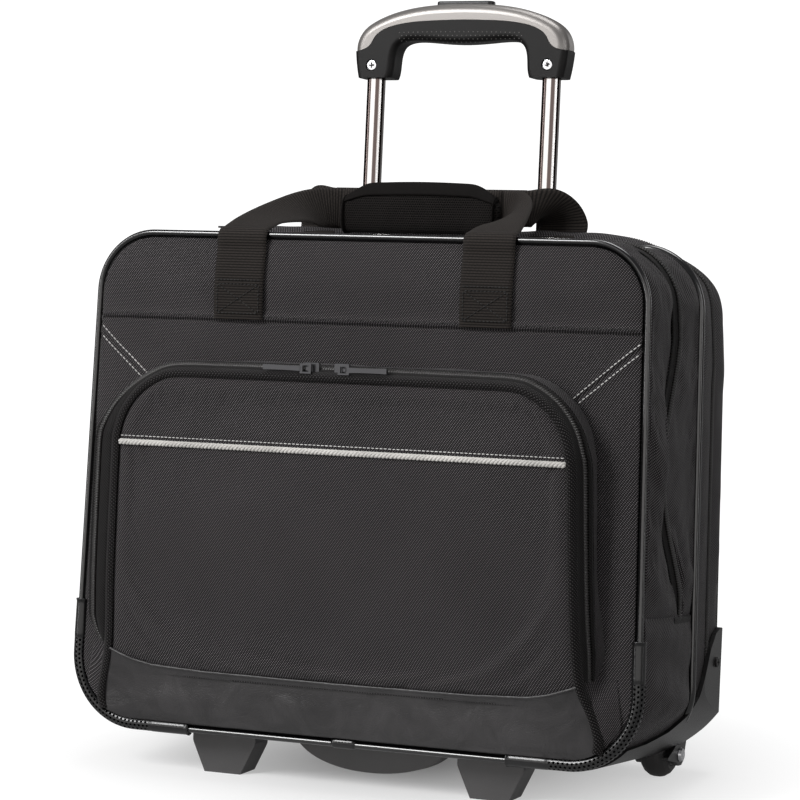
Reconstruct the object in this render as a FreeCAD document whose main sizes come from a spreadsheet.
import FreeCAD, Part
import math
import os
import Sketcher

# Rolling laptop case with a telescopic handle.  It is modelled upright in its own case
# frame: X right, Y to the rear, Z up, zero at the middle of the front bottom seam.  Every
# piece is then leaned back by lean_angle, lifted so that feet and wheels stand on Z = 0, and
# moved forward so that the origin lies on the floor under the middle of the whole case.

Vector = FreeCAD.Vector
Rotation = FreeCAD.Rotation
Placement = FreeCAD.Placement

SIZE = {
    # standing attitude
    "lean_angle": 6.0, "lift_height": 29.4, "depth_shift": 94.65,
    # outline of the case: half widths at the bottom and top corners, heights, corner radii
    "half_bottom": 211.7, "half_top": 204.5, "seam_bottom": 3.1, "seam_top": 347.1,
    "corner_low": 47.0, "corner_high": 41.0, "piping_dia": 6.2,
    # corner sleeves on the front piping
    "sleeve_outer": 9.6, "sleeve_inner": 6.8, "sleeve_height": 88.0, "sleeve_reach": 120.0,
    # stations along the depth
    "zip_front": 44.0, "zip_mid": 48.75, "zip_rear": 54.0, "mid_seam": 97.0,
    "rear_zip_pos": 130.0, "back_inner": 161.0, "back_outer": 165.0,
    # fabric wall, lower end of the main zip, top of the rear compartment
    "wall": 3.0, "zip_end": 100.0, "rear_top": 357.5,
    # front pocket
    "pocket_top": 253.0, "pocket_half_top": 168.0, "pocket_half_low": 189.0,
    "pocket_depth": 34.0, "pocket_wall": 2.5, "coil_dia": 4.0,
    "stripe_height": 201.0, "stripe_width": 4.0, "trim_height": 44.8,
    # telescopic handle
    "tube_pitch_half": 69.2, "tube_depth_pos": 149.0,
    "outer_tube_x": 19.0, "outer_tube_y": 16.5, "outer_wall": 1.0,
    "mid_tube_x": 16.0, "mid_tube_y": 13.5, "mid_wall": 1.0,
    "inner_tube_x": 13.0, "inner_tube_y": 10.5, "inner_wall": 1.0,
    "outer_low": 50.0, "outer_high": 350.0, "mid_low": 58.0, "mid_high": 352.5,
    "inner_low": 176.0, "inner_high": 496.0,
    "grip_low": 471.7, "grip_front": 138.6, "grip_rear": 159.4,
    # straps
    "strap_width": 38.0, "strap_offset": 93.0, "strap_thick": 2.2, "strap_low": 287.5,
    # wheels, feet, skid
    "wheel_radius": 16.5, "wheel_width": 20.0, "wheel_offset": 178.6,
    "wheel_y": 133.6, "wheel_z": 1.07, "axle_dia": 6.0, "hub_radius": 9.5,
    "foot_offset": 101.5, "foot_top_half": 25.0, "foot_low_half": 12.5,
    "foot_front": 16.0, "foot_rear": 36.0,
    "skid_half": 60.0, "skid_drop": 21.0,
}

doc = FreeCAD.newDocument("RollingCase")
sheet = doc.addObject("Spreadsheet::Sheet", "Dims")
for row, (alias, number) in enumerate(SIZE.items(), 1):
    sheet.set("A%d" % row, alias)
    sheet.set("B%d" % row, repr(number))
    sheet.setAlias("B%d" % row, alias)
doc.recompute()

STAND = Placement(Vector(0, -SIZE["depth_shift"], SIZE["lift_height"]),
                  Rotation(Vector(1, 0, 0), -SIZE["lean_angle"]))
SIDES = (("left", -1), ("right", 1))
# inward lean of the side walls per millimetre of height
SIDE_TAPER = ((SIZE["half_bottom"] - SIZE["half_top"])
              / (SIZE["seam_top"] - SIZE["seam_bottom"]))
FLOOR_TOP = 8.2         # top of the flat part of the case floor
SLOPE_START = 107.0     # depth at which the floor starts to rise
CUT_HALF = 250.0        # half width of cutters that pass the whole case
CUT_LOW = -20.0         # lower end of those cutters
ZIP_GAP = 0.3           # gap between neighbouring strips at the main zip

pieces = {}             # label -> finished object


# ------------------------------------------------------------------ numbers and expressions
# A coordinate or length is a plain number or a (value, expression) pair made by dim().

def dim(name, offset=0.0, factor=1.0):
    """factor * dimension + offset, as a value and as an expression on the spreadsheet."""
    return (factor * SIZE[name] + offset,
            "%r * Dims.%s + (%r)" % (float(factor), name, float(offset)))


def radius_of(name, offset=0.0):
    """Half of a diameter, plus an offset."""
    return dim(name, offset, 0.5)


def value(length):
    return float(length[0]) if isinstance(length, tuple) else float(length)


def expression(length):
    return length[1] if isinstance(length, tuple) else repr(float(length))


# ------------------------------------------------------------------ points
def flip(points, side):
    """Points on the given side (-1 or 1) from points for the right side."""
    return [(side * x, y) for x, y in points]


def mirrored(points):
    """Mirror image about x = 0, in reverse order."""
    return [(-x, y) for x, y in points[::-1]]


def symmetric(points):
    """Points that end on x = 0, continued by their mirror image."""
    return points + mirrored(points)[1:]


def floor_height(y):
    """Height of the sloping rear floor at depth y."""
    return FLOOR_TOP + max(0.0, y - SLOPE_START) * (35.0 / 55.0)


def ground(y):
    """Height of the ground line in the case frame at depth y."""
    lean = math.radians(SIZE["lean_angle"])
    return -SIZE["lift_height"] / math.cos(lean) + y * math.tan(lean)


def outline(grow, top=None, low=None):
    """Corner points and radii of the case outline, grown outwards by grow."""
    if low is None:
        low = SIZE["seam_bottom"] - grow
    if top is None:
        top = SIZE["seam_top"] + grow
    bottom_x = SIZE["half_bottom"] + grow
    top_x = SIZE["half_top"] + grow
    points = [(-bottom_x, low), (bottom_x, low), (top_x, top), (-top_x, top)]
    return points, [SIZE["corner_low"] + grow] * 2 + [SIZE["corner_high"] + grow] * 2


# ------------------------------------------------------------------ sketches
def body(name):
    new_body = doc.addObject("PartDesign::Body", "B_" + name)
    doc.recompute()
    return new_body


def sketch(owner, name, plane, offset=0.0):
    """Sketch on a base plane, moved along X, Y or Z by offset."""
    sk = owner.newObject("Sketcher::SketchObject", name)
    base = [item for item in owner.Origin.OriginFeatures if item.Role == plane][0]
    sk.AttachmentSupport = [(base, "")]
    sk.MapMode = "FlatFace"
    # the normal of the XZ plane points to the front, against Y
    sign = -1.0 if plane == "XZ_Plane" else 1.0
    sk.AttachmentOffset = Placement(Vector(0, 0, sign * value(offset)), Rotation())
    if isinstance(offset, tuple):
        sk.setExpression("AttachmentOffset.Base.z", "%r * (%s)" % (sign, offset[1]))
    return sk


def fix_point(sk, index, point, x, y):
    """Tie one point of a sketch element to its coordinates."""
    for kind, coordinate, axis in (("DistanceX", x, -2), ("DistanceY", y, -1)):
        if abs(value(coordinate)) < 1e-9:
            sk.addConstraint(Sketcher.Constraint("PointOnObject", index, point, axis))
            continue
        number = sk.addConstraint(
            Sketcher.Constraint(kind, -1, 1, index, point, value(coordinate)))
        if isinstance(coordinate, tuple):
            sk.setExpression("Constraints[%d]" % number, coordinate[1])


def poly(sk, points):
    """Closed polygon with every corner fixed."""
    first = len(sk.Geometry)
    count = len(points)
    corners = [Vector(value(x), value(y), 0) for x, y in points]
    for i in range(count):
        sk.addGeometry(Part.LineSegment(corners[i], corners[(i + 1) % count]), False)
    for i in range(count):
        sk.addConstraint(
            Sketcher.Constraint("Coincident", first + i, 2, first + (i + 1) % count, 1))
    for i, (x, y) in enumerate(points):
        fix_point(sk, first + i, 1, x, y)


def rect(sk, x0, x1, y0, y1):
    poly(sk, [(x0, y0), (x1, y0), (x1, y1), (x0, y1)])


def circle(sk, x, y, radius):
    round_line = Part.Circle(Vector(value(x), value(y), 0), Vector(0, 0, 1), value(radius))
    index = sk.addGeometry(round_line, False)
    fix_point(sk, index, 3, x, y)
    number = sk.addConstraint(Sketcher.Constraint("Radius", index, value(radius)))
    if isinstance(radius, tuple):
        sk.setExpression("Constraints[%d]" % number, radius[1])


def rounded(points, radii, closed=True):
    """Polyline with rounded corners, as (curve, runs backwards) pairs."""
    count = len(points)
    corners = []        # start, end and centre of each corner arc
    for i, radius in enumerate(radii):
        corner = Vector(*points[i], 0)
        if radius <= 0 or (not closed and i in (0, count - 1)):
            corners.append((corner, corner, None))
            continue
        before = Vector(*points[(i - 1) % count], 0) - corner
        after = Vector(*points[(i + 1) % count], 0) - corner
        before.normalize()
        after.normalize()
        angle = before.getAngle(after)
        tangent_length = radius / math.tan(angle / 2)
        bisector = before + after
        bisector.normalize()
        centre = corner + bisector * (radius / math.sin(angle / 2))
        corners.append((corner + before * tangent_length,
                        corner + after * tangent_length, centre))
    pairs = []
    for i, (start, end, centre) in enumerate(corners):
        if centre is not None:
            first = math.atan2(start.y - centre.y, start.x - centre.x)
            last = math.atan2(end.y - centre.y, end.x - centre.x)
            turn = (start - centre).cross(end - centre).z
            if turn <= 0:
                first, last = last, first
            if last < first:
                last += 2 * math.pi
            full = Part.Circle(centre, Vector(0, 0, 1), radii[i])
            pairs.append((Part.ArcOfCircle(full, first, last), turn < 0))
        if closed or i < count - 1:
            following = corners[(i + 1) % count][0]
            if (following - end).Length > 1e-6:
                pairs.append((Part.LineSegment(end, following), False))
    return pairs


def join(sk, pairs, closed=True):
    """Add (curve, runs backwards) pairs end to end and fix the radii of the arcs."""
    ends = []
    for curve, backwards in pairs:
        index = sk.addGeometry(curve, False)
        ends.append((index, 2, 1) if backwards else (index, 1, 2))
    count = len(ends)
    for i in range(count if closed else count - 1):
        here = ends[i]
        following = ends[(i + 1) % count]
        sk.addConstraint(
            Sketcher.Constraint("Coincident", here[0], here[2], following[0], following[1]))
    for index, _, _ in ends:
        if sk.Geometry[index].TypeId == "Part::GeomArcOfCircle":
            sk.addConstraint(Sketcher.Constraint("Radius", index, sk.Geometry[index].Radius))


def round_rect(sk, x0, x1, y0, y1, radius):
    join(sk, rounded([(x0, y0), (x1, y0), (x1, y1), (x0, y1)], [radius] * 4))


def spline(points):
    curve = Part.BSplineCurve()
    curve.interpolate([Vector(x, y, 0) for x, y in points])
    return curve


# ------------------------------------------------------------------ features and solids
def extrude(owner, name, plane, low, high, draw, cut=False):
    """Pad, or pocket if cut, between two stations on the axis normal to the plane."""
    # features grow along the normal, so a sketch on XZ sits at the rear end
    sk = sketch(owner, name + "_sketch", plane, high if plane == "XZ_Plane" else low)
    draw(sk)
    doc.recompute()
    before = owner.Shape.Volume if cut else 0.0
    feature = owner.newObject("PartDesign::Pocket" if cut else "PartDesign::Pad", name)
    feature.Profile = sk
    feature.Length = value(high) - value(low)
    if isinstance(high, tuple) or isinstance(low, tuple):
        feature.setExpression("Length", "(%s) - (%s)" % (expression(high), expression(low)))
    if cut:
        feature.Reversed = True
    doc.recompute()
    if cut and not (feature.Shape.Volume < before - 1e-3):
        raise RuntimeError("cut %s of %s removes nothing" % (name, owner.Name))
    return feature


def fillet(owner, name, base, pick, radius):
    """Round the edges of base for which pick(edge) holds."""
    doc.recompute()
    edges = ["Edge%d" % i for i, edge in enumerate(base.Shape.Edges, 1) if pick(edge)]
    if not edges:
        raise RuntimeError("no edges for " + name)
    feature = owner.newObject("PartDesign::Fillet", name)
    feature.Base = (base, edges)
    feature.Radius = float(radius)
    doc.recompute()


def sweep(label, y, path, closed, plane, offset, centre, radius, inner_radius=None):
    """Round bar, or tube, swept along a path that stands at depth y."""
    pipe_body = body(label)
    spine = sketch(pipe_body, label + "_path", "XZ_Plane", y)
    join(spine, path, closed)
    section = sketch(pipe_body, label + "_section", plane, offset)
    circle(section, *centre, radius)
    if inner_radius is not None:
        circle(section, *centre, inner_radius)
    doc.recompute()
    pipe = pipe_body.newObject("PartDesign::AdditivePipe", label + "_pipe")
    pipe.Profile = section
    pipe.Spine = (spine, [])
    pipe.Mode = "Standard"
    doc.recompute()
    put(pipe_body, label)


def revolve(name, *profiles):
    """Polygons of (x, radius) points turned about the X axis."""
    round_body = body(name)
    sk = sketch(round_body, name + "_sketch", "XY_Plane")
    for profile in profiles:
        poly(sk, profile)
    feature = round_body.newObject("PartDesign::Revolution", name + "_rev")
    feature.Profile = sk
    feature.ReferenceAxis = (sk, ["H_Axis"])
    feature.Angle = 360
    if len(profiles) > 1:
        feature.AllowMultiFace = True
    doc.recompute()
    return round_body


def centred_box(centre, lengths):
    corner = Vector(*centre) - Vector(*lengths) * 0.5
    return Part.makeBox(*lengths, corner)


def loft_band(sections, thick, ruled=False):
    """Flat band lofted through sections (centre, width direction, normal, width)."""
    wires = []
    for centre, across, normal, width in sections:
        centre, across, normal = Vector(*centre), Vector(*across), Vector(*normal)
        across.normalize()
        normal = normal - across * normal.dot(across)
        normal.normalize()
        corners = [centre + across * (i * width / 2) + normal * (j * thick / 2)
                   for i, j in ((-1, -1), (1, -1), (1, 1), (-1, 1))]
        wires.append(Part.makePolygon(corners + [corners[0]]))
    solid = Part.makeLoft(wires, True, ruled)
    if solid.Volume < 0:
        solid.reverse()
    return solid


def along(axis):
    """Edge selector: straight edges that run along one axis."""
    def pick(edge):
        if edge.Curve.TypeId != "Part::GeomLine":
            return False
        return abs(getattr(edge.tangentAt(edge.FirstParameter), axis)) > 0.999
    return pick


def round_edges_along(solid, axis, radius):
    pick = along(axis)
    return solid.makeFillet(radius, [edge for edge in solid.Edges if pick(edge)])


def circles_at(solid, axis, station):
    """Circular edges of a solid at one station on the X or Y axis."""
    return [edge for edge in solid.Edges
            if edge.Curve.TypeId == "Part::GeomCircle"
            and abs(getattr(edge.BoundBox, axis + "Max") - station) < 0.01]


def put(obj, label, at=(0, 0, 0)):
    """Name a finished piece and stand it in the leaned-back case."""
    obj.Label = label
    obj.Placement = STAND * Placement(Vector(*at), Rotation())
    pieces[label] = obj


def put_shape(label, shape):
    feature = doc.addObject("Part::Feature", "F_" + label)
    feature.Shape = shape
    put(feature, label)


def frame_loop(label, front, rear, grow, wall, low_cut=None, top=None, low=None,
               floor_cut=False):
    """Wall that follows the case outline between two depths.

    low_cut removes everything below that height; floor_cut clears the sloping floor.
    """
    if top is None:
        top = SIZE["seam_top"] + grow
    if low is None:
        low = SIZE["seam_bottom"] - grow

    def draw(sk):
        join(sk, rounded(*outline(grow, top, low)))
        join(sk, rounded(*outline(grow - wall, top - wall, low + wall)))

    loop = body(label)
    extrude(loop, label + "_pad", "XZ_Plane", front, rear, draw)
    cut_front = value(front) - 2
    cut_rear = value(rear) + 2
    if low_cut is not None:
        extrude(loop, label + "_end", "XZ_Plane", cut_front, cut_rear,
                lambda sk: rect(sk, -CUT_HALF, CUT_HALF, CUT_LOW, low_cut), True)
    if floor_cut:
        over_floor = 1.0
        points = [(cut_front, CUT_LOW), (cut_rear, CUT_LOW),
                  (cut_rear, floor_height(cut_rear) + over_floor)]
        if cut_front < SLOPE_START:
            points.append((SLOPE_START, FLOOR_TOP + over_floor))
        points.append((cut_front, floor_height(cut_front) + over_floor))
        extrude(loop, label + "_floor", "YZ_Plane", -CUT_HALF, CUT_HALF,
                lambda sk: poly(sk, points), True)
    return loop


# ------------------------------------------------------------------ front lid
def front_panel():
    panel = body("front_panel")
    extrude(panel, "front_panel_pad", "XZ_Plane", -2.0, 2.0,
            lambda sk: join(sk, rounded(*outline(-3.6))))
    put(panel, "front_panel")


def front_piping():
    """Closed bead round the front; its path starts at the middle of the bottom."""
    points, radii = outline(0.0)
    low = points[0][1]
    path = rounded([(0, low)] + points[1:] + points[:1], [0] + radii[1:] + radii[:1])
    sweep("front_piping", 0.0, path, True, "YZ_Plane", 0.0, (0.0, low),
          radius_of("piping_dia"))


def corner_sleeve(name, side):
    """Tube over the front piping at one bottom corner."""
    low = SIZE["seam_bottom"]
    reach = side * SIZE["sleeve_reach"]
    top_x = SIZE["half_bottom"] - (SIZE["sleeve_height"] - low) * SIDE_TAPER
    points = [(side * top_x, SIZE["sleeve_height"]), (side * SIZE["half_bottom"], low),
              (reach, low)]
    if side > 0:
        points = points[::-1]
    sweep("corner_sleeve_" + name, 0.0, rounded(points, [0, SIZE["corner_low"], 0], False),
          False, "YZ_Plane", reach, (0.0, low),
          radius_of("sleeve_outer"), radius_of("sleeve_inner"))


def lid_walls():
    """Lid half of the side wall and the front half of the main zip."""
    put(frame_loop("lid_gusset", 4.2, dim("zip_front", -ZIP_GAP), 1.0, SIZE["wall"],
                   low_cut=SIZE["zip_end"]), "lid_gusset")
    put(frame_loop("main_zip_front", dim("zip_front"), dim("zip_mid", -ZIP_GAP), 2.0, 2.2,
                   low_cut=SIZE["zip_end"]), "main_zip_front")


# ------------------------------------------------------------------ front pocket
POCKET_FOOT = 14.0          # bottom of the pocket
POCKET_ZIP_Y = -29.0        # depth of the coil zip
POCKET_ZIP_LOW = 64.0       # lower ends of the zip
POCKET_ZIP_GROW = 3.6       # zip centre line outside the pocket mouth
# side profile of the pocket: y, z, and the shares of the inset added to y and to z
POCKET_PROFILE = [
    (-30.0, SIZE["pocket_top"], 0.6, -1), (-SIZE["pocket_depth"], 246.0, 1, -1),
    (-33.0, 200.0, 1, 0), (-30.5, 150.0, 1, 0), (-27.8, 110.0, 1, 0), (-21.0, 62.0, 1, 0),
    (-12.2, 34.0, 1, 1), (-6.2, POCKET_FOOT, 1, 1),
]


def pocket_solid(name, inset, back_y):
    """Wedge with shaped sides; the inset one is the room inside the pocket."""
    top = SIZE["pocket_top"] - inset
    profile = [(back_y, top)]
    profile += [(y + share_y * inset, z + share_z * inset)
                for y, z, share_y, share_z in POCKET_PROFILE]
    profile.append((back_y, POCKET_FOOT + inset))
    low_x = SIZE["pocket_half_low"] - inset
    top_x = SIZE["pocket_half_top"] - inset
    right = [(low_x, 8.0), (low_x - 6, 36.0), (low_x - 15, 62.0), (low_x - 18, 100.0),
             (top_x, 200.0), (top_x, top + 0.2)]
    radii = [0] * 5 + [50 - inset] * 2 + [0] * 5

    def draw_surroundings(sk):
        rect(sk, -260, 260, -10, 300)
        join(sk, rounded(right + mirrored(right), radii))

    wedge = body(name)
    extrude(wedge, name + "_wedge", "YZ_Plane", dim("pocket_half_low", inset, -1.0),
            dim("pocket_half_low", -inset), lambda sk: poly(sk, profile))
    extrude(wedge, name + "_corners", "XZ_Plane", -60.0, 10.0, draw_surroundings, True)
    return wedge


def front_pocket():
    outer = pocket_solid("pocket_outer", 0.0, -2.6)
    room = pocket_solid("pocket_inner", SIZE["pocket_wall"], -2.0)
    pocket = doc.addObject("Part::Cut", "front_pocket_cut")
    pocket.Base = outer
    pocket.Tool = room
    put(pocket, "front_pocket")


def pocket_path(grow):
    """Points and radii of an open line round the pocket mouth, from left to right."""
    half = SIZE["pocket_half_top"] + grow
    left = [(-half - 7, POCKET_ZIP_LOW), (-half - 4, 100.0), (-half, 190.0),
            (-half + 2, SIZE["pocket_top"] + grow)]
    return left + mirrored(left), [0, 0, 0, 46 + grow, 46 + grow, 0, 0, 0]


def pocket_zip():
    """Coil zip round the pocket mouth."""
    points, radii = pocket_path(POCKET_ZIP_GROW)
    sweep("pocket_zip", POCKET_ZIP_Y, rounded(points, radii, False), False,
          "XY_Plane", POCKET_ZIP_LOW, (points[0][0], POCKET_ZIP_Y), radius_of("coil_dia"))


def pocket_gusset():
    """Side wall of the pocket between the zip and the front panel."""
    outer, outer_radii = pocket_path(8.6)
    inner, inner_radii = pocket_path(6.4)
    ring = rounded(outer + inner[::-1], outer_radii + inner_radii)
    gusset = body("pocket_gusset")
    extrude(gusset, "pocket_gusset_pad", "XZ_Plane", POCKET_ZIP_Y, -2.6,
            lambda sk: join(sk, ring))
    put(gusset, "pocket_gusset")


def pocket_base_trim():
    """Trim along the foot of the pocket, with slanting ends."""
    profile = [(-16.1, dim("trim_height")), (-12.6, 34.0), (-6.6, 13.8), (-2.7, 8.0),
               (-5.0, 7.0), (-8.6, 13.0), (-14.6, 33.3), (-18.2, dim("trim_height", 0.2))]
    beyond_end = [(181.0, 60.0), (187.0, -5.0), (260.0, -5.0), (260.0, 60.0)]
    trim = body("pocket_base_trim")
    extrude(trim, "trim_pad", "YZ_Plane", dim("pocket_half_low", 4, -1.0),
            dim("pocket_half_low", -4), lambda sk: poly(sk, profile))
    for name, side in (("trim_ends", 1), ("trim_ends_b", -1)):
        extrude(trim, name, "XZ_Plane", -60.0, 10.0,
                lambda sk: poly(sk, flip(beyond_end, side)), True)
    put(trim, "pocket_base_trim")


def pocket_stripe():
    """Stripe across the front of the pocket."""
    half = SIZE["stripe_width"] / 2
    half_front = half - 0.1
    profile = [(-33.35, dim("stripe_height", half)), (-34.9, dim("stripe_height", half_front)),
               (-34.9, dim("stripe_height", -half_front)), (-33.3, dim("stripe_height", -half))]
    stripe = body("pocket_stripe")
    extrude(stripe, "stripe_pad", "YZ_Plane", -164.0, 164.0, lambda sk: poly(sk, profile))
    put(stripe, "pocket_stripe")


# right side of the welt from the bottom up: x, y, z
WELT_SIDE = [
    (187.0, -10.6, 21.0), (182.0, -14.6, 36.0), (174.5, -23.8, 62.0), (171.6, -27.9, 80.0),
    (170.6, -30.8, 110.0), (169.0, -33.4, 150.0), (167.0, -35.9, 200.0),
]


def pocket_welt():
    """Eight-sided bead that edges the pocket front, lofted along a space curve."""
    bead_radius = 1.7
    corner_radius = 47.0
    corner_y = -36.8
    top_y = -36.9
    steps = 64
    top = SIZE["pocket_top"] - 3.0
    corner_x = WELT_SIDE[-1][0] - corner_radius
    corner = []
    for degrees in (12, 35, 58, 80):
        angle = math.radians(degrees)
        corner.append((corner_x + corner_radius * math.cos(angle), corner_y,
                       top - corner_radius + corner_radius * math.sin(angle)))
    right = WELT_SIDE + corner + [(90.0, top_y, top), (45.0, top_y, top)]
    left = [(-x, y, z) for x, y, z in right[::-1]]
    curve = Part.BSplineCurve()
    curve.interpolate([Vector(*point) for point in right + [(0.0, top_y, top)] + left])
    rings = []
    for i in range(steps + 1):
        parameter = (curve.FirstParameter
                     + (curve.LastParameter - curve.FirstParameter) * i / steps)
        tangent = curve.tangent(parameter)[0]
        centre = curve.value(parameter)
        across = tangent.cross(Vector(0, 1, 0))
        across.normalize()
        normal = across.cross(tangent)
        normal.normalize()
        ring = [centre + across * (bead_radius * math.cos(math.radians(degrees)))
                + normal * (bead_radius * math.sin(math.radians(degrees)))
                for degrees in range(0, 360, 45)]
        rings.append(Part.makePolygon(ring + [ring[0]]))
    put_shape("pocket_welt", Part.makeLoft(rings, True, True))


def strap_rects(sk, low, high):
    """One rectangle of strap width at each strap."""
    half = SIZE["strap_width"] / 2
    for side in (-1, 1):
        x = side * SIZE["strap_offset"]
        rect(sk, x - half, x + half, low, high)


def front_straps():
    """Lower ends of the front handle webbing, flat on the front panel."""
    straps = body("front_straps")
    extrude(straps, "front_straps_pad", "XZ_Plane", -4.6, -2.3,
            lambda sk: strap_rects(sk, dim("strap_low"), 343.2))
    put(straps, "front_straps")


def pocket_slider(name, side, x):
    """Slider at x on the top run of the pocket zip; its pull points to the given side."""
    z = SIZE["pocket_top"] + POCKET_ZIP_GROW
    pull_y = -36.3
    slider = round_edges_along(centred_box((x, -32.4, z), (11, 2.0, 8.4)), "y", 0.9)
    post = centred_box((x + side * 2.4, -34.25, z), (2.6, 1.7, 2.2))
    put_shape("pocket_slider_" + name, slider.fuse(post).removeSplitter())
    eye = centred_box((x + side * 3.0, pull_y, z), (8.4, 1.5, 6.8))
    eye = eye.cut(centred_box((x + side * 2.9, pull_y, z), (4.6, 3.0, 4.4)))
    # stations of the tab: distance from the slider, y shift, z shift, width
    stations = [(7.0, 0.0, 0.0, 3.6), (21.0, 0.1, 0.1, 3.2), (35.0, -0.1, 0.2, 3.8)]
    tab = loft_band([((x + side * distance, pull_y + shift_y, z + shift_z),
                      (0, 0, 1), (0, 1, 0), width)
                     for distance, shift_y, shift_z, width in stations], 2.0)
    put_shape("pocket_pull_" + name, eye.fuse(tab).removeSplitter())


# ------------------------------------------------------------------ case body
def middle_walls():
    """Side walls between the lid and the divider, and the rear half of the main zip."""
    lower = frame_loop("lower_gusset", 6.0, dim("zip_rear"), 1.2, SIZE["wall"])
    extrude(lower, "lower_gusset_top", "XZ_Plane", 0.0, 60.0,
            lambda sk: rect(sk, -CUT_HALF, CUT_HALF, 97.6, 400), True)
    put(lower, "lower_gusset")
    put(frame_loop("main_zip_rear", dim("zip_mid"), dim("zip_rear", -ZIP_GAP), 2.0, 2.2,
                   low_cut=SIZE["zip_end"]), "main_zip_rear")
    put(frame_loop("main_gusset", dim("zip_rear", 0.5), dim("mid_seam", -3.6), 1.2,
                   SIZE["wall"]), "main_gusset")


def mid_piping():
    """Bead at the middle seam, open at the bottom."""
    grow = 1.4
    low = 46.0
    points, radii = outline(grow)
    low_x = SIZE["half_bottom"] + grow - (low - SIZE["seam_bottom"]) * SIDE_TAPER
    path = rounded([(-low_x, low), points[3], points[2], (low_x, low)],
                   [0, radii[3], radii[2], 0], False)
    sweep("mid_piping", dim("mid_seam"), path, False, "XY_Plane", low,
          (-low_x, SIZE["mid_seam"]), radius_of("piping_dia", -0.1))


def divider_panel():
    panel = body("divider_panel")
    extrude(panel, "divider_pad", "XZ_Plane", dim("mid_seam", -2.0), dim("mid_seam", 2.0),
            lambda sk: join(sk, rounded(*outline(-2.6))))
    extrude(panel, "divider_foot", "XZ_Plane", 90.0, 104.0,
            lambda sk: rect(sk, -CUT_HALF, CUT_HALF, -9, 9.0), True)
    put(panel, "divider_panel")


def rear_walls():
    """Side walls and zip of the rear compartment."""
    put(frame_loop("rear_gusset", dim("mid_seam", 3.6), dim("rear_zip_pos", -2.8), -1.4,
                   SIZE["wall"], top=SIZE["rear_top"], low=2.7, floor_cut=True),
        "rear_gusset")
    put(frame_loop("rear_zip", dim("rear_zip_pos", -2.4), dim("rear_zip_pos", 2.4), -0.4, 2.4,
                   top=SIZE["rear_top"] + 2.6, floor_cut=True), "rear_zip")
    back = frame_loop("back_gusset", dim("rear_zip_pos", 2.8), dim("back_inner", -0.5), -3.6,
                      SIZE["wall"], top=SIZE["rear_top"] - 2.5, floor_cut=True)
    extrude(back, "handle_notch", "XY_Plane", 340.0, 370.0,
            lambda sk: rect(sk, -86, 86, 137.5, 163), True)
    put(back, "back_gusset")


def back_panel():
    points, radii = outline(-8.2, top=SIZE["rear_top"] - 3.0, low=46.0)
    panel = body("back_panel")
    extrude(panel, "back_panel_pad", "XZ_Plane", dim("back_inner"), dim("back_outer"),
            lambda sk: join(sk, rounded(points, [38, 38] + radii[2:])))
    put(panel, "back_panel")


def box_piece(label, x0, x1, y0, y1, z0, z1):
    box = body(label)
    extrude(box, label + "_pad", "XY_Plane", z0, z1, lambda sk: rect(sk, x0, x1, y0, y1))
    put(box, label)


def base_board():
    """Stiff floor: flat, then sloping up over the wheels."""
    profile = [(6.5, 5.5), (107.5, 5.5), (163.0, 40.4), (161.0, 43.0), (106.5, FLOOR_TOP),
               (6.5, FLOOR_TOP)]
    board = body("base_board")
    extrude(board, "base_board_pad", "YZ_Plane", -164.0, 164.0, lambda sk: poly(sk, profile))
    put(board, "base_board")


# ------------------------------------------------------------------ telescopic handle
def tube_rects(sk, *sections):
    """Rounded rectangles (half x, half y, radius) centred on each handle leg."""
    y = SIZE["tube_depth_pos"]
    for side in (-1, 1):
        x = side * SIZE["tube_pitch_half"]
        for half_x, half_y, radius in sections:
            round_rect(sk, x - half_x, x + half_x, y - half_y, y + half_y, radius)


def tube_circles(sk, radius):
    for side in (-1, 1):
        circle(sk, side * SIZE["tube_pitch_half"], SIZE["tube_depth_pos"], radius)


def tubes(label, stage):
    """The two identical legs of one telescopic stage."""
    sections = []
    for wall in (0.0, SIZE[stage + "_wall"]):
        half_x = SIZE[stage + "_tube_x"] / 2 - wall
        half_y = SIZE[stage + "_tube_y"] / 2 - wall
        sections.append((half_x, half_y, min(half_x, half_y) - 0.9))
    legs = body(label)
    extrude(legs, label + "_pad", "XY_Plane", dim(stage + "_low"), dim(stage + "_high"),
            lambda sk: tube_rects(sk, *sections))
    put(legs, label)


def middle_collars():
    collars = body("middle_collars")
    extrude(collars, "middle_collars_pad", "XY_Plane", 360.8, 362.3,
            lambda sk: tube_rects(sk, (8.6, 7.3, 6.3), (6.9, 5.6, 4.6)))
    put(collars, "middle_collars")


def handle_bezel():
    """Plate round both legs on top of the case."""
    def draw(sk):
        round_rect(sk, -82, 82, 138.6, 160.0, 8)
        tube_rects(sk, (8.9, 7.6, 6.5))

    bezel = body("handle_bezel")
    extrude(bezel, "handle_bezel_pad", "XY_Plane", 353.2, 360.4, draw)
    put(bezel, "handle_bezel")


# Grip lines, left half, as x, z points.  A soft lower moulding and a hard upper shell meet
# along the parting line.
GRIP_OUTER_LOW = [(-80.6, SIZE["grip_low"]), (-82.6, 482.0), (-83.6, 491.2)]
GRIP_OUTER_HIGH = [(-82.4, 499.7), (-78.0, 507.0), (-69.4, 513.2), (-57.6, 518.2),
                   (-40.0, 522.6), (-21.0, 524.8), (0.0, 525.4)]
GRIP_INNER = [(-54.4, SIZE["grip_low"]), (-52.6, 480.1), (-51.4, 490.0), (-49.0, 494.8),
              (-44.0, 497.6), (-36.0, 498.6), (-22.2, 497.8), (0.0, 496.6)]
GRIP_PARTING = [(-83.6, 491.2), (-76.5, 492.0), (-71.2, 495.2), (-67.6, 501.0),
                (-61.1, 506.2), (-49.2, 510.0), (-34.0, 512.0), (-16.3, 512.8), (0.0, 513.1)]
CHANNEL_Y = (145.2, 152.8)      # depth of the channel inside the grip
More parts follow.
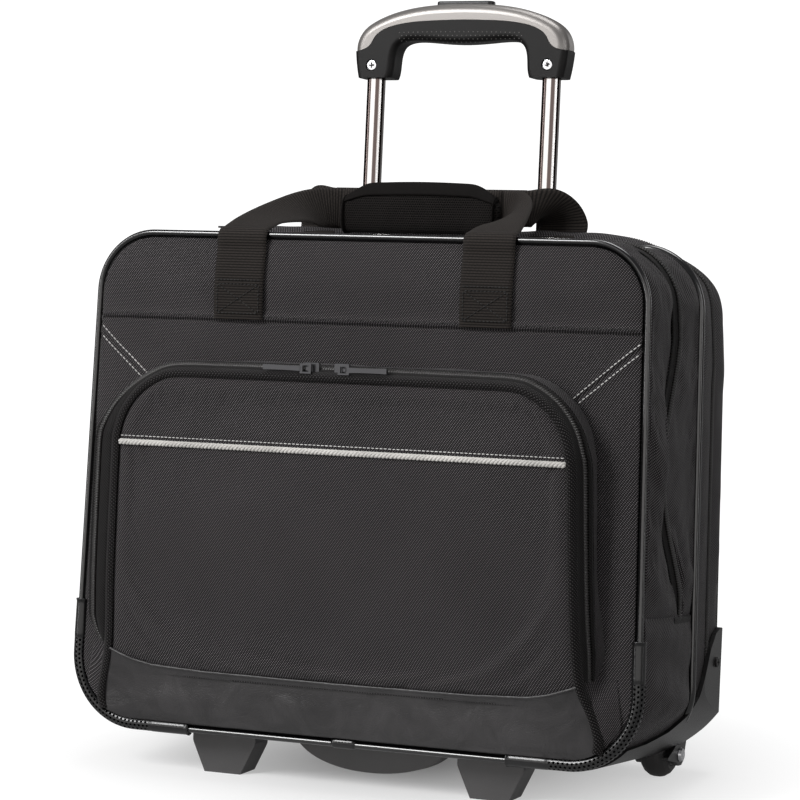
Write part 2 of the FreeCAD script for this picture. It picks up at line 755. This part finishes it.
CHANNEL_HALF = 73.0
CHANNEL_SHOULDER = 509.2        # height of the channel at its ends
GRIP_SCREW_Z = 480.7
ROD_RADIUS = 2.2


def flat_in_y(edge):
    return abs(edge.BoundBox.YMax - edge.BoundBox.YMin) < 0.01


def draw_lower_grip(sk):
    low = SIZE["grip_low"]
    outer_x = -GRIP_OUTER_LOW[0][0]
    inner_x = -GRIP_INNER[0][0]
    lines = [spline(symmetric(GRIP_INNER)),
             Part.LineSegment(Vector(inner_x, low, 0), Vector(outer_x, low, 0)),
             spline(flip(GRIP_OUTER_LOW, -1)),
             spline(symmetric(GRIP_PARTING)[::-1]),
             spline(GRIP_OUTER_LOW[::-1]),
             Part.LineSegment(Vector(-outer_x, low, 0), Vector(-inner_x, low, 0))]
    join(sk, [(line, False) for line in lines])


def draw_upper_grip(sk):
    gap = 0.25
    corner = (-83.5, GRIP_PARTING[0][1] + gap)
    parting = [corner] + [(x, z + gap) for x, z in GRIP_PARTING[1:]]
    outer = [corner] + GRIP_OUTER_HIGH
    join(sk, [(spline(symmetric(parting)), False), (spline(symmetric(outer)[::-1]), False)])


def draw_button_opening(sk):
    y = SIZE["tube_depth_pos"]
    round_rect(sk, -22.6, 22.6, y - 5.1, y + 5.1, 4.0)


def draw_sockets(sk):
    tube_rects(sk, (SIZE["inner_tube_x"] / 2 + 0.2, SIZE["inner_tube_y"] / 2 + 0.2, 4.3))


def draw_screw_recesses(sk):
    for side in (-1, 1):
        circle(sk, side * SIZE["tube_pitch_half"], GRIP_SCREW_Z, 4.4)


def grip_lower():
    channel = [(-CHANNEL_HALF, 501.2), (CHANNEL_HALF, 501.2), (CHANNEL_HALF, CHANNEL_SHOULDER),
               (24, 520), (-24, 520), (-CHANNEL_HALF, CHANNEL_SHOULDER)]

    def inner_or_side(edge):
        """Edges of the inner curve and of the two short outer sides."""
        box = edge.BoundBox
        width = box.XMax - box.XMin
        return flat_in_y(edge) and box.ZMax < 499.5 and (width > 90 or width < 5)

    grip = body("grip_lower")
    pad = extrude(grip, "grip_lower_pad", "XZ_Plane", dim("grip_front"), dim("grip_rear"),
                  draw_lower_grip)
    fillet(grip, "grip_lower_round", pad, inner_or_side, 4.5)
    extrude(grip, "grip_channel", "XZ_Plane", *CHANNEL_Y, lambda sk: poly(sk, channel), True)
    extrude(grip, "button_well", "XY_Plane", 505.0, 540.0, draw_button_opening, True)
    extrude(grip, "tube_sockets", "XY_Plane", 465.0, 500.0, draw_sockets, True)
    extrude(grip, "rod_holes", "XY_Plane", 490.0, 507.0,
            lambda sk: tube_circles(sk, ROD_RADIUS + 0.5), True)
    extrude(grip, "screw_recess", "XZ_Plane", 137.0, 141.2, draw_screw_recesses, True)
    put(grip, "grip_lower")


def grip_upper_shell():
    shell = body("grip_upper_shell")
    pad = extrude(shell, "grip_upper_pad", "XZ_Plane", dim("grip_front"), dim("grip_rear"),
                  draw_upper_grip)
    fillet(shell, "grip_upper_round", pad,
           lambda edge: flat_in_y(edge) and edge.BoundBox.ZMax > 524.0, 7.0)
    extrude(shell, "button_slot", "XY_Plane", 505.0, 540.0, draw_button_opening, True)
    extrude(shell, "shell_channel", "XZ_Plane", *CHANNEL_Y,
            lambda sk: rect(sk, -CHANNEL_HALF, CHANNEL_HALF, 490.0, CHANNEL_SHOULDER), True)
    extrude(shell, "shell_sockets", "XY_Plane", 480.0, 497.0, draw_sockets, True)
    put(shell, "grip_upper_shell")


ROD_TOP = 505.4                 # rods end where the button's yoke begins


def release_button():
    """Push button with a yoke that reaches over both rods."""
    y = SIZE["tube_depth_pos"]
    top = 527.6
    yoke = [(-72, ROD_TOP), (72, ROD_TOP), (72, 508.4), (21, 510.5), (-21, 510.5),
            (-72, 508.4)]
    button = body("release_button")
    pad = extrude(button, "button_pad", "XY_Plane", 509.0, top,
                  lambda sk: round_rect(sk, -22.1, 22.1, y - 4.6, y + 4.6, 3.6))
    fillet(button, "button_round", pad,
           lambda edge: abs(edge.BoundBox.ZMax - top) < 0.01
           and abs(edge.BoundBox.ZMin - top) < 0.01, 1.2)
    extrude(button, "button_yoke", "XZ_Plane", 146.0, 152.0, lambda sk: poly(sk, yoke))
    put(button, "release_button")


def release_rods():
    rods = body("release_rods")
    extrude(rods, "release_rods_pad", "XY_Plane", 182.0, ROD_TOP,
            lambda sk: tube_circles(sk, ROD_RADIUS))
    put(rods, "release_rods")


def grip_screws():
    """Cross-slotted screw heads in the front of the grip."""
    head_y = 139.2
    slot_long, slot_wide, slot_depth = 4.6, 1.0, 1.1
    heads = []
    for side in (-1, 1):
        x = side * SIZE["tube_pitch_half"]
        head = Part.makeCylinder(3.9, 1.7, Vector(x, head_y, GRIP_SCREW_Z), Vector(0, 1, 0))
        head = head.makeFillet(0.6, circles_at(head, "Y", head_y))
        for size_x, size_z in ((slot_long, slot_wide), (slot_wide, slot_long)):
            head = head.cut(centred_box((x, 138.9 + slot_depth / 2, GRIP_SCREW_Z),
                                        (size_x, slot_depth, size_z)))
        heads.append(head)
    put_shape("grip_screws", Part.makeCompound(heads))


# ------------------------------------------------------------------ carrying handle
STRAP = SIZE["strap_width"]
# stations of the right branch of each loop, from the case to the bar:
# centre x, y, z; width direction x, y, z; normal x, y, z; width
FRONT_STATIONS = [
    (93.0, 1.0, 352.4, 1, 0, 0, 0, -0.5, 1, STRAP),
    (91.0, 20.0, 359.8, 1, 0, 0.12, 0, -0.35, 1, STRAP - 2),
    (84.0, 52.0, 368.0, 0.86, 0.1, 0.5, -0.5, -0.3, 0.8, STRAP - 5),
    (75.0, 77.0, 372.0, 0.35, 0.1, 0.94, -0.85, -0.45, 0.3, STRAP - 8),
    (64.5, 86.6, 372.6, 0, 0, 1, -0.5, -1, 0, STRAP - 9.4),
    (57.0, 86.6, 372.6, 0, 0, 1, 0, -1, 0, STRAP - 9.4),
]
REAR_STATIONS = [
    (93.0, 121.5, 359.9, 1, 0, 0, 0, 0.5, 1, STRAP),
    (94.0, 122.5, 367.5, 1, 0, 0.05, -0.05, 0.8, 0.6, STRAP - 2),
    (92.0, 115.0, 375.0, 0.93, 0.1, 0.36, -0.4, 0.6, 0.7, STRAP - 6),
    (86.0, 105.0, 377.0, 0.5, 0.1, 0.86, -0.8, 0.2, 0.5, STRAP - 8),
    (77.0, 100.6, 375.5, 0, 0, 1, -0.1, 1, 0, STRAP - 12),
    (68.0, 100.6, 375.5, 0, 0, 1, 0, 1, 0, STRAP - 12),
]


def blend(before, start, end, after, f):
    """Smooth value at fraction f between start and end, from four values in a row."""
    start_slope = (end - before) / 2.0
    end_slope = (after - start) / 2.0
    return ((2 * f ** 3 - 3 * f ** 2 + 1) * start + (f ** 3 - 2 * f ** 2 + f) * start_slope
            + (-2 * f ** 3 + 3 * f ** 2) * end + (f ** 3 - f ** 2) * end_slope)


def strap_branch(side, stations):
    """One branch of a loop: stations blended into many short straight lengths."""
    steps = 5
    last = len(stations) - 1
    rows = []
    for i in range(last):
        four = [stations[max(0, min(last, i + j))] for j in (-1, 0, 1, 2)]
        for j in range(steps):
            rows.append([blend(*column, j / steps) for column in zip(*four)])
    rows.append(stations[-1])
    sections = [((side * row[0], row[1], row[2]), (side * row[3], row[4], row[5]),
                 (side * row[6], row[7], row[8]), row[9]) for row in rows]
    return loft_band(sections, SIZE["strap_thick"], True)


def carry_strap(label, stations, bar_size):
    """Loop of webbing: a straight bar joined to a branch on each side."""
    branches = [strap_branch(side, stations) for side in (-1, 1)]
    loop = centred_box((0, stations[-1][1], stations[-1][2]), bar_size)
    for branch in branches:
        loop = loop.fuse(branch)
    put_shape(label, loop)


def carry_wrap():
    """Sleeve round the bars of both loops."""
    def draw(sk):
        round_rect(sk, 79.6, 93.6, 356.0, 389.6, 6.5)
        rect(sk, 84.4, 89.2, 357.6, 387.8)

    wrap = body("carry_wrap")
    extrude(wrap, "carry_wrap_pad", "YZ_Plane", -61.0, 61.0, draw)
    put(wrap, "carry_wrap")


def rear_straps():
    """Ends of the rear handle webbing, flat on top of the case."""
    straps = body("rear_straps")
    extrude(straps, "rear_straps_pad", "XY_Plane", 357.7, 359.6,
            lambda sk: strap_rects(sk, 102.5, 120.0))
    put(straps, "rear_straps")


def top_slider(prefix, x, y, z):
    """Slider and pull lying on top of one of the long zips, the slider standing on z."""
    slider = round_edges_along(centred_box((x, y, z + 1.2), (12.0, 8.4, 2.4)), "z", 0.9)
    post = centred_box((x + 2.5, y, z + 3.3), (2.6, 2.2, 1.8))
    put_shape(prefix + "_slider", slider.fuse(post).removeSplitter())
    eye = centred_box((x + 3.0, y, z + 5.3), (8.4, 8.0, 1.4))
    eye = eye.cut(centred_box((x + 2.9, y, z + 5.5), (4.6, 4.4, 3.0)))
    # stations of the tab: distance from the slider, height above z, width
    stations = [(7.0, 5.3, 4.2), (20.8, 5.0, 5.6), (37.8, 4.6, 7.6)]
    tab = loft_band([((x + distance, y, z + height), (0, 1, 0), (0, 0, 1), width)
                     for distance, height, width in stations], 1.6)
    put_shape(prefix + "_pull", eye.fuse(tab).removeSplitter())


# ------------------------------------------------------------------ wheels and their housings
GUARD_WALL = 2.8
GUARD_GROW = 4.9                # outside of the guard beyond the case outline
GUARD_TOP = 125.0               # top of the blank the guard is cut from
GUARD_MID = (217.0, 100.0)      # x, y where the plan starts to narrow
GUARD_REAR = (211.0, 168.0)     # x, y of its rear outer corner
# upper line of the guard seen from the side: y, z
GUARD_CREST = [
    (9.0, 14.6), (40.0, 16.7), (69.6, 22.5), (92.6, 32.0), (108.0, 44.2), (118.6, 58.5),
    (130.6, 76.0), (143.0, 86.0), (156.0, 89.5), (164.0, 88.6),
]
# fork cheek: y from the axle with z from the axle, then y from the axle with z of the case
CHEEK_LOW = [(-7, -5), (-3, -7.6), (3, -7.6), (7, -5)]
CHEEK_HIGH = [(16, 24.2), (4, 17.0), (-14, 5.0), (-24, 0.6), (-24, -1.0)]
CHEEK_NEAR, CHEEK_FAR = 1.6, 5.4    # cheek faces, measured from the wheel's side
WELL_GAP = 1.5                      # wheel well beyond each side of the wheel


def guard_profile(inset):
    """Side view of the guard; the inset room runs on above it, so the guard is open."""
    front, lift, rear_top = (6.0, 30.0, 118.0) if inset else (9.0, 0.0, 85.0)
    rear = GUARD_REAR[1] - inset
    low = -2.2 + inset
    crest = [(front, GUARD_CREST[0][1] + lift)]
    crest += [(y, z + lift) for y, z in GUARD_CREST[1:]]
    return crest + [(rear, rear_top), (rear, 42.0), (rear - 4.0, 33.0),
                    (rear - 20, 20.0 + inset * 0.6), (rear - 40, 7.0 + inset),
                    (rear - 56, low), (front, low)]


def guard_solid(name, kind, side, inset):
    """Common part of a front view, a side view and a plan view of the guard."""
    tag = "%s_%s" % (name, kind)
    grow = GUARD_GROW - inset
    outer_x = SIZE["half_bottom"] + grow
    low = SIZE["seam_bottom"] - grow
    inner_x = 140.0 if inset else 150.0
    front_view = [(inner_x, low), (outer_x, low),
                  (outer_x - (GUARD_TOP - low) * SIDE_TAPER, GUARD_TOP), (inner_x, GUARD_TOP)]
    front_radii = [0, SIZE["corner_low"] + grow, 0, 0]
    body_x = body("housing_%s_x" % tag)
    extrude(body_x, "h_%s_xp" % tag, "XZ_Plane", 3.0, 190.0,
            lambda sk: join(sk, rounded(flip(front_view, side), front_radii)))

    body_y = body("housing_%s_y" % tag)
    low_x, high_x = sorted((side * 130.0, side * 230.0))
    extrude(body_y, "h_%s_yp" % tag, "YZ_Plane", low_x, high_x,
            lambda sk: poly(sk, guard_profile(inset)))
    two_views = doc.addObject("Part::Common", "H_" + tag)
    two_views.Base = body_x
    two_views.Tool = body_y

    # the guard narrows towards the back, where its upright edge is rounded
    rear = GUARD_REAR[1] - inset
    plan = [(130.0, -8.0), (217.5 - inset, -8.0), (GUARD_MID[0] - inset, GUARD_MID[1]),
            (GUARD_REAR[0] - inset * 0.97, rear), (130.0, rear)]
    body_z = body("housing_%s_z" % tag)
    extrude(body_z, "h_%s_zp" % tag, "XY_Plane", -45.0, 135.0,
            lambda sk: join(sk, rounded(flip(plan, side), [0, 0, 0, 10.0 - inset, 0])))
    three_views = doc.addObject("Part::Common", "HZ_" + tag)
    three_views.Base = two_views
    three_views.Tool = body_z
    return three_views


def cut_object(name, base, tool):
    result = doc.addObject("Part::Cut", name)
    result.Base = base
    result.Tool = tool
    return result


def axle_cylinder(name, radius_formula, radius, height, x):
    """Cylinder along X on the wheel axis, starting at x."""
    cylinder = doc.addObject("Part::Cylinder", name)
    cylinder.Radius = radius
    cylinder.setExpression("Radius", radius_formula)
    cylinder.Height = height
    cylinder.Placement = Placement(Vector(x, SIZE["wheel_y"], SIZE["wheel_z"]),
                                   Rotation(Vector(0, 1, 0), 90))
    return cylinder


def wheel_housing(name, side):
    """Hollow guard with a fork; the wheel well and the axle hole are cut through both."""
    x = side * SIZE["wheel_offset"]
    y, z = SIZE["wheel_y"], SIZE["wheel_z"]
    half = SIZE["wheel_width"] / 2
    solid = guard_solid(name, "shell", side, 0.0)
    room = guard_solid(name, "room", side, GUARD_WALL)
    hollow = cut_object("H_%s_hollow" % name, solid, room)

    cheek_points = [(y + dy, z + dz) for dy, dz in CHEEK_LOW]
    cheek_points += [(y + dy, height) for dy, height in CHEEK_HIGH]
    cheeks = []
    for i, (low_x, high_x) in enumerate(((x - half - CHEEK_FAR, x - half - CHEEK_NEAR),
                                         (x + half + CHEEK_NEAR, x + half + CHEEK_FAR))):
        cheek = body("cheek_%s_%d" % (name, i))
        extrude(cheek, "cheek_%s_%d_pad" % (name, i), "YZ_Plane", low_x, high_x,
                lambda sk: poly(sk, cheek_points))
        cheeks.append(cheek)
    fused = doc.addObject("Part::MultiFuse", "H_%s_fused" % name)
    fused.Shapes = [hollow] + cheeks

    well = axle_cylinder("H_%s_well" % name, "Dims.wheel_radius + 2.4",
                         SIZE["wheel_radius"] + 2.4, SIZE["wheel_width"] + 2 * WELL_GAP,
                         x - half - WELL_GAP)
    well.setExpression("Height", "Dims.wheel_width + %r" % (2 * WELL_GAP))
    pin = axle_cylinder("H_%s_pin" % name, "Dims.axle_dia / 2 + 0.15",
                        SIZE["axle_dia"] / 2 + 0.15, 60, x - 30)
    housing = cut_object("H_%s_b" % name, cut_object("H_%s_a" % name, fused, well), pin)
    doc.recompute()
    put(housing, "wheel_housing_" + name)


def axle(name):
    """Axle with a head at either end, centred on x = 0."""
    end = SIZE["wheel_width"] / 2 + CHEEK_FAR
    return revolve("axle_" + name, [
        (-end - 2.6, 0), (end + 2.4, 0),
        (end + 2.0, radius_of("axle_dia", 1.2)), (end + 0.3, radius_of("axle_dia", 2.0)),
        (end + 0.3, radius_of("axle_dia")), (-end - 0.3, radius_of("axle_dia")),
        (-end - 0.3, radius_of("axle_dia", 1.5)), (-end - 2.2, radius_of("axle_dia", 1.0))])


def bearings(name):
    """Two bearing rings, one near each side of the hub."""
    half = SIZE["wheel_width"] / 2
    ring = [(-half + 0.6, 3.15), (-half + 5.0, 3.15), (-half + 5.0, 5.9), (-half + 0.6, 5.9)]
    return revolve("wheel_bearings_" + name, ring, flip(ring, -1))


def hub(name):
    half = SIZE["wheel_width"] / 2
    return revolve("wheel_hub_" + name, [
        (-half + 0.4, 6.05), (half - 0.4, 6.05), (half - 0.4, dim("hub_radius", -1.4)),
        (half - 3.6, dim("hub_radius")), (-half + 3.6, dim("hub_radius")),
        (-half + 0.4, dim("hub_radius", -1.4))])


def tyre(name):
    half = SIZE["wheel_width"] / 2
    return revolve("wheel_tyre_" + name, [
        (-half + 3.4, dim("hub_radius", 0.1)), (half - 3.4, dim("hub_radius", 0.1)),
        (half - 0.4, dim("hub_radius", -1.0)), (half, dim("hub_radius", 1.6)),
        (half - 2.2, dim("wheel_radius", -2.6)), (half - 5.6, dim("wheel_radius", -0.5)),
        (2.0, dim("wheel_radius")), (-2.0, dim("wheel_radius")),
        (-half + 5.6, dim("wheel_radius", -0.5)), (-half + 2.2, dim("wheel_radius", -2.6)),
        (-half, dim("hub_radius", 1.6)), (-half + 0.4, dim("hub_radius", -1.0))])


def wheels():
    """Housings, hubs and tyres per side; axles and bearings are grouped over both sides."""
    groups = {"wheel_axles": [], "wheel_bearings": []}
    for name, side in SIDES:
        centre = (side * SIZE["wheel_offset"], SIZE["wheel_y"], SIZE["wheel_z"])
        wheel_housing(name, side)
        for label, build in (("wheel_axles", axle), ("wheel_bearings", bearings)):
            member = build(name)
            member.Placement = Placement(Vector(*centre), Rotation())
            groups[label].append(member)
        put(hub(name), "wheel_hub_" + name, centre)
        put(tyre(name), "wheel_tyre_" + name, centre)
    for label, members in groups.items():
        group = doc.addObject("Part::Compound", "G_" + label)
        group.Links = members
        doc.recompute()
        put(group, label)


def housing_screws():
    """Cross-slotted screw head on the outer face of each guard."""
    y, z = 145.0, 66.0
    height = 1.6
    slot_long, slot_wide = 4.4, 0.9
    narrowing = (GUARD_MID[0] - GUARD_REAR[0]) / (GUARD_REAR[1] - GUARD_MID[1])
    base_x = GUARD_MID[0] - (y - GUARD_MID[1]) * narrowing + 0.35
    heads = []
    for side in (-1, 1):
        head = Part.makeCylinder(3.6, height, Vector(side * base_x, y, z), Vector(side, 0, 0))
        head = head.makeFillet(0.7, circles_at(head, "X", side * (base_x + height)))
        for size_y, size_z in ((slot_long, slot_wide), (slot_wide, slot_long)):
            head = head.cut(centred_box((side * (base_x + 1.3), y, z), (1.2, size_y, size_z)))
        heads.append(head)
    put_shape("housing_screws", Part.makeCompound(heads))


# ------------------------------------------------------------------ feet and middle skid
def foot(name, side):
    """Tapered foot whose lower face lies on the ground once the case leans back."""
    x = side * SIZE["foot_offset"]
    front, rear = SIZE["foot_front"], SIZE["foot_rear"]
    top = 1.0
    profile = [(dim("foot_front"), top), (dim("foot_front"), ground(front)),
               (dim("foot_rear"), ground(rear)), (dim("foot_rear"), top)]
    beyond_taper = [(25.6, -4.0), (SIZE["foot_low_half"], -31.0), (40.0, -31.0), (40.0, -4.0)]
    block = body("foot_" + name)
    extrude(block, "foot_%s_pad" % name, "YZ_Plane", x - SIZE["foot_top_half"],
            x + SIZE["foot_top_half"], lambda sk: poly(sk, profile))
    for i, end in enumerate((1, -1)):
        points = [(x + dx, z) for dx, z in flip(beyond_taper, end)]
        taper = extrude(block, "foot_%s_taper%d" % (name, i), "XZ_Plane", front - 3, rear + 3,
                        lambda sk: poly(sk, points), True)
    fillet(block, "foot_%s_round" % name, taper, along("z"), 1.8)
    put(block, "foot_" + name)


def middle_skid():
    """Bowed skid under the middle of the case."""
    half, drop = SIZE["skid_half"], SIZE["skid_drop"]
    top = 1.0
    left = [(-half, top), (-half * 0.86, -8), (-half * 0.5, -drop * 0.84), (0, -drop)]

    def draw(sk):
        chord = Part.LineSegment(Vector(half, top, 0), Vector(-half, top, 0))
        join(sk, [(spline(symmetric(left)), False), (chord, False)])

    skid = body("middle_skid")
    extrude(skid, "middle_skid_pad", "XZ_Plane", 42.0, 56.0, draw)
    put(skid, "middle_skid")


# ------------------------------------------------------------------ assembly
front_panel()
front_piping()
for side_name, side_sign in SIDES:
    corner_sleeve(side_name, side_sign)
lid_walls()

front_pocket()
pocket_zip()
pocket_gusset()
pocket_base_trim()
pocket_stripe()
pocket_welt()
front_straps()
pocket_slider("left", -1, -21.0)
pocket_slider("right", 1, 1.5)

middle_walls()
mid_piping()
divider_panel()
rear_walls()
back_panel()
box_piece("tube_cover_panel", -184, 184, 133.4, 136.4, 49.0, 344.0)
box_piece("laptop_pad", -172, 172, 99.6, 104.0, 30.0, 250.0)
base_board()

tubes("outer_tubes", "outer")
tubes("middle_tubes", "mid")
tubes("inner_tubes", "inner")
middle_collars()
handle_bezel()
box_piece("tube_bracket", -84, 84, 138.5, 159.6, 44.0, 49.6)
grip_lower()
grip_upper_shell()
release_button()
release_rods()
grip_screws()

carry_strap("carry_strap_front", FRONT_STATIONS,
            (124.0, SIZE["strap_thick"] + 0.2, STRAP - 9.0))
carry_strap("carry_strap_rear", REAR_STATIONS,
            (148.0, SIZE["strap_thick"] + 0.4, STRAP - 11.0))
carry_wrap()
rear_straps()
top_slider("main_zip", -138.0, SIZE["zip_mid"], SIZE["seam_top"] + 2.9)
top_slider("rear_zip", -10.0, SIZE["rear_zip_pos"], SIZE["rear_top"] + 3.1)

wheels()
for side_name, side_sign in SIDES:
    foot(side_name, side_sign)
middle_skid()
housing_screws()

# ------------------------------------------------------------------ checks and files
doc.recompute()
faults = []
for obj in doc.Objects:
    state = list(obj.State)
    if "Invalid" in state or "Error" in state:
        faults.append((obj.Name, state))
for label, obj in pieces.items():
    shape = obj.Shape
    if shape.isNull() or not shape.isValid() or shape.Volume <= 0 or not shape.Solids:
        faults.append((label, "shape"))
if faults:
    raise RuntimeError("objects not sound: %r" % (faults,))

os.makedirs("parts", exist_ok=True)
for old in os.listdir("parts"):
    if old.endswith(".step"):
        os.remove(os.path.join("parts", old))
for label, obj in pieces.items():
    obj.Shape.exportStep(os.path.join("parts", label + ".step"))
